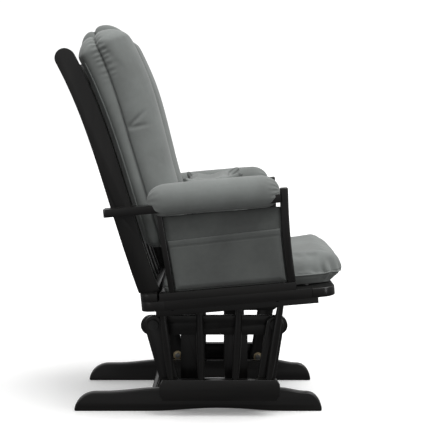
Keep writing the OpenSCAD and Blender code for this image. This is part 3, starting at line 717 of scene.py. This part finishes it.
def pillow_shape(place):
    x, y, z = place
    share = (z - PILLOW_LOW) / (PILLOW_HIGH - PILLOW_LOW)
    across = abs(x) / PILLOW_HALF
    fore = (y + PILLOW_DEEP) / (2 * PILLOW_DEEP)          # 0 at the front, 1 at the rear
    y += 0.004 + 0.044 * share          # leans back with the cushion behind it
    y -= 0.004 * hill(0.45, 0.4, share) * (1 - fore)
    # Its top sags between front and rear edge.
    z -= 0.012 * smooth(0.6, 1.0, share) * hill(0.5, 0.28, fore)
    x -= math.copysign(0.010 * hill(0.5, 0.35, share) * smooth(0.6, 1, across), x)
    return Vector((x, y, z))


pillow = block(
    "lumbar_pillow_stuffed",
    (-PILLOW_HALF, -PILLOW_DEEP, PILLOW_LOW), (PILLOW_HALF, PILLOW_DEEP, PILLOW_HIGH),
)
modify(pillow, "BEVEL", width=0.012, segments=3, limit_method="NONE")
modify(pillow, "REMESH", mode="VOXEL", voxel_size=0.005)
keep_places(pillow, "boxed")
reshape(pillow, pillow_shape)
stuff(pillow, lambda index, p: 1 - smooth(PILLOW_LOW + 0.001, PILLOW_LOW + 0.008, p.z),
      pressure=2.0, cap=0.006)
modify(pillow, "SUBSURF", levels=1, render_levels=1)
# Its upper corners are drawn out into points.
boxed = kept_places(pillow, "boxed")
for vertex, p in zip(pillow.data.vertices, boxed):
    ear = (
        smooth(0.040, 0.0, PILLOW_HALF - abs(p.x)) * smooth(0.034, 0.0, PILLOW_DEEP - abs(p.y))
        * smooth(0.045, 0.0, PILLOW_HIGH - p.z)
    )
    vertex.co += Vector((math.copysign(0.006, p.x), -0.030 if p.y < 0 else 0.012, 0.018)) * ear
# Painted shade along the pillow's boxed seams.
paint_seam_shade(
    pillow,
    lambda i: 0.8 * hill(
        0.0085, 0.0022, max(PILLOW_DEEP - abs(boxed[i].y), PILLOW_HIGH - boxed[i].z)
    ),
)
pillow.data.transform(ON_DECK)
finish_piece(pillow, grey_suede, "seat", ["lumbar_pillow"])


# ---- Arm pads: padded sleeves round the arm boards ----

PAD_FRONT, PAD_REAR, PAD_LOW, PAD_HIGH = -0.1265, 0.206, 0.212, 0.293
PAD_X, PAD_HALF = 0.283, 0.0405


def pad_shape(place):
    x, y, z = place
    share = (PAD_REAR - y) / (PAD_REAR - PAD_FRONT)
    rear = 1 - smooth(0.0, 0.16, share)
    fore = smooth(0.86, 1.0, share)
    middle = (PAD_LOW + PAD_HIGH) / 2
    # Both ends draw in a little, the front one where it is gathered at the post.
    drawn = 0.12 if z > middle else 0.03
    z = middle + (z - middle) * (1 - drawn * (rear + fore))
    x = PAD_X + (x - PAD_X) * (1 - 0.12 * rear - 0.08 * fore)
    z += 0.002 * math.sin(math.pi * share)
    return Vector((x, y, z))


def arm_pad(side, label):
    low = (PAD_X - PAD_HALF, PAD_FRONT, PAD_LOW)
    high = (PAD_X + PAD_HALF, PAD_REAR, PAD_HIGH)
    piece = block("arm_pad_" + label + "_stuffed", low, high)
    modify(piece, "BEVEL", width=0.037, segments=6, limit_method="NONE")
    modify(piece, "REMESH", mode="VOXEL", voxel_size=0.005)
    reshape(piece, pad_shape)
    keep_places(piece, "level")
    stuff(
        piece,
        lambda index, p: max(
            hill(PAD_LOW, 0.004, p.z) * 0.6, 1 - smooth(-0.1245, -0.1165, p.y)
        ),
        pressure=2.5, cap=0.005,
    )
    modify(piece, "SUBSURF", levels=1, render_levels=1)
    level = kept_places(piece, "level")

    def pad_crease(index):
        p = level[index]
        under = hill(PAD_X + 0.018, 0.003, p.x) * (1 - smooth(PAD_LOW + 0.01, PAD_LOW + 0.03, p.z))
        turn = math.atan2(p.z - 0.252, p.x - PAD_X)
        gather = (1 - smooth(-0.1245, -0.090, p.y)) * math.sin(turn * 17)
        rear = smooth(0.165, 0.2, p.y) * math.sin(turn * 13 + 1) * 0.5
        slow = noise.noise((p.x * 14, p.y * 10, p.z * 14))
        return 0.002 * under + 0.0010 * (gather + rear) + 0.0010 * slow

    crease(piece, pad_crease)
    # The slot for the arm board, and the notch for the rear post's top.
    for name, low, high in (
        ("slot", (0.2495, -0.3, 0.2234), (0.3105, 0.45, 0.2446)),
        ("notch", (0.2574, 0.155, 0.19), (0.2886, 0.198, 0.2240)),
    ):
        cutter = block(name, low, high)
        modify(piece, "BOOLEAN", object=cutter, operation="DIFFERENCE", solver="EXACT")
        bpy.data.objects.remove(cutter)
    if side < 0:
        piece.data.transform(Matrix.Scale(-1, 4, (1, 0, 0)))
        piece.data.flip_normals()
    piece.data.transform(ON_DECK)
    finish_piece(piece, grey_suede, "seat", ["arm_pad_" + label], angle=60)


# ---- Side panels: thin padded cloth between the arm posts, each with a hemmed pocket ----

def panel_rear(z):
    """The panel's rear edge beside the leaning rear post, at a height over the deck."""
    return 0.164 + 0.016 * (z - 0.020) / 0.204 - 0.0075 + 0.0018


def panel_front(z):
    """The panel's front edge behind the bowed front post."""
    return -0.128 + 0.004 * math.sin(math.pi * (z - 0.020) / 0.238) - 0.0012


def leaned(place, start, room):
    """Makes a straight sheet's edges follow the two posts, at some room from them."""
    share = (place.y - start) / (0.150 - start)
    front, rear = panel_front(place.z) + room, panel_rear(place.z) - room
    return Vector((place.x, front + share * (rear - front), place.z))


def side_panel(side, label):
    front, low, high = -0.121, 0.0204, 0.2130
    piece = block("side_panel_" + label + "_padded", (0.2735, front, low), (0.2805, 0.150, high))
    modify(piece, "BEVEL", width=0.0025, segments=2, limit_method="NONE")
    modify(piece, "REMESH", mode="VOXEL", voxel_size=0.0035)

    def shape(place):
        p = leaned(place, front, 0)
        edge = min(p.y - panel_front(p.z), panel_rear(p.z) - p.y, p.z - low, high - p.z)
        middle = smooth(0, 0.03, edge)
        tug = 0.0007 * math.sin(p.z * 95 + 14 * p.y + 2 * noise.noise((0, p.y * 16, p.z * 9)))
        thin = 0.45 + 0.55 * middle
        return Vector((0.277 + (p.x - 0.277) * thin + tug * middle * 0.6, p.y, p.z))

    reshape(piece, shape)
    if side < 0:
        piece.data.transform(Matrix.Scale(-1, 4, (1, 0, 0)))
        piece.data.flip_normals()
    piece.data.transform(ON_DECK)
    # The panel gets the darker copy of the grey cloth: painted shade under the arm.
    finish_piece(piece, panel_suede_painted_shade, "seat", ["side_panel_" + label])
    return piece


def side_pocket(side, label, panel):
    front, low, high = -0.117, 0.0265, 0.1625
    rear = 0.150
    deselect()
    bpy.ops.mesh.primitive_grid_add(x_subdivisions=76, y_subdivisions=40, size=1)
    piece = bpy.context.object
    piece.name = "side_pocket_" + label + "_cloth"

    def shape(place):
        y = front + (place.x + 0.5) * (rear - front)
        top = high - 0.005 - 0.008 * (place.x + 0.5)      # its mouth falls towards the rear
        z = low + (place.y + 0.5) * (top - low)
        down = top - z
        p = leaned(Vector((0, y, z)), front, 0.006)
        sides = min(
            p.y - panel_front(p.z) - 0.006, panel_rear(p.z) - 0.006 - p.y, p.z - low
        )
        out = smooth(-0.001, 0.010, sides)
        # The hem is thicker than the pocket, and the mouth's edge lies against the panel.
        hem = 0.0009 * (smooth(0.0150, 0.0140, down) - 1.6 * smooth(0.004, 0.0, down))
        stitch = 0.0010 * hill(0.0155, 0.0014, down)
        sag = 0.0006 * math.sin(p.y * 52 + 3 * p.z * 10) * out
        return Vector((0.2835 + 0.0042 * out + hem - stitch + sag, p.y, p.z))

    reshape(piece, shape)
    pick(piece)
    bpy.ops.object.mode_set(mode="EDIT")
    bpy.ops.mesh.select_all(action="SELECT")
    bpy.ops.mesh.normals_make_consistent(inside=False)
    bpy.ops.object.mode_set(mode="OBJECT")
    if sum(p.normal.x for p in piece.data.polygons) < 0:
        piece.data.flip_normals()
    modify(piece, "SOLIDIFY", thickness=0.0018, offset=0)
    if side < 0:
        piece.data.transform(Matrix.Scale(-1, 4, (1, 0, 0)))
        piece.data.flip_normals()
    piece.data.transform(ON_DECK)
    # The pocket gets the darker copy of the grey cloth: painted shade under the arm.
    finish_piece(piece, panel_suede_painted_shade, "seat", ["side_pocket_" + label])


for side, label in ((1, "left"), (-1, "right")):
    arm_pad(side, label)
    side_pocket(side, label, side_panel(side, label))


# ---- Floor, light and camera ----

deselect()
bpy.ops.mesh.primitive_plane_add(size=60, location=(0, 0, 0))
floor = bpy.context.object
floor.name = "studio_floor"
paper, tree, shader, place = material("matt_white_paper", Roughness=0.9)
shade = add(tree, "ShaderNodeTexNoise", {"Scale": 1.5, "Detail": 2.0}, {"Vector": place})
colour = add(
    tree, "ShaderNodeMix", {"data_type": "RGBA", 6: linear("#f6f6f5"), 7: linear("#fafafa")},
    {0: shade.outputs["Fac"]},
).outputs[2]
tree.links.new(colour, shader.inputs["Base Color"])
floor.data.materials.append(paper)
# The paper does not light the chair from below, and glows a little so that it stays white.
floor.visible_diffuse = floor.visible_glossy = False
shader.inputs["Emission Color"].default_value = (1, 1, 1, 1)
shader.inputs["Emission Strength"].default_value = 0.13

world = bpy.data.worlds.new("studio")
scene.world = world
world.use_nodes = True
tree = world.node_tree
back_light = tree.nodes["Background"]
back_light.inputs["Color"].default_value = (1, 1, 1, 1)
# The room is bright overhead and dim at eye level, and its backdrop is white.
sky = add(
    tree, "ShaderNodeSeparateXYZ",
    links={"Vector": add(tree, "ShaderNodeTexCoord").outputs["Generated"]},
).outputs["Z"]
room = add(
    tree, "ShaderNodeMapRange",
    {"From Min": -0.3, "From Max": 0.8, "To Min": 0.11, "To Max": 0.82}, {"Value": sky},
).outputs["Result"]
ray = add(tree, "ShaderNodeLightPath").outputs["Is Camera Ray"]
strength = add(
    tree, "ShaderNodeMapRange", {"To Max": 1.1}, {"Value": ray, "To Min": room}
).outputs["Result"]
tree.links.new(strength, back_light.inputs["Strength"])

sun = bpy.data.lights.new("large_overhead_softbox", "SUN")
sun.energy, sun.angle = 2.15, math.radians(45)
lamp = bpy.data.objects.new(sun.name, sun)
lamp.rotation_euler = Vector((0.36, 0.70, -1.7)).to_track_quat("-Z", "Y").to_euler()
scene.collection.objects.link(lamp)

# Two tall softboxes draw the long highlights on the spindles and light the cushion's border.
for name, place, wide, power in (
    ("front_softbox", (-2.7, -2.4, 0.9), 0.35, 11), ("rear_softbox", (-1.9, 2.5, 1.3), 1.0, 20),
):
    softbox = bpy.data.lights.new(name, "AREA")
    softbox.shape, softbox.size, softbox.size_y, softbox.energy = "RECTANGLE", wide, 1.8, power
    lamp = bpy.data.objects.new(name, softbox)
    lamp.location = place
    lamp.rotation_euler = (Vector((0, 0, 0.6)) - Vector(place)).to_track_quat("-Z", "Y").to_euler()
    scene.collection.objects.link(lamp)

deselect()
camera_data = bpy.data.cameras.new("camera")
camera_data.lens, camera_data.sensor_width, camera_data.shift_y = 84.1, 36, -0.06
camera = bpy.data.objects.new("camera", camera_data)
scene.collection.objects.link(camera)
camera.location = (-2.7855, -0.0337, 0.7477)
camera.rotation_euler = (math.radians(90 - 3.51), 0, math.radians(-90))
scene.camera = camera
scene.view_settings.view_transform = "Standard"
scene.view_settings.look = "None"
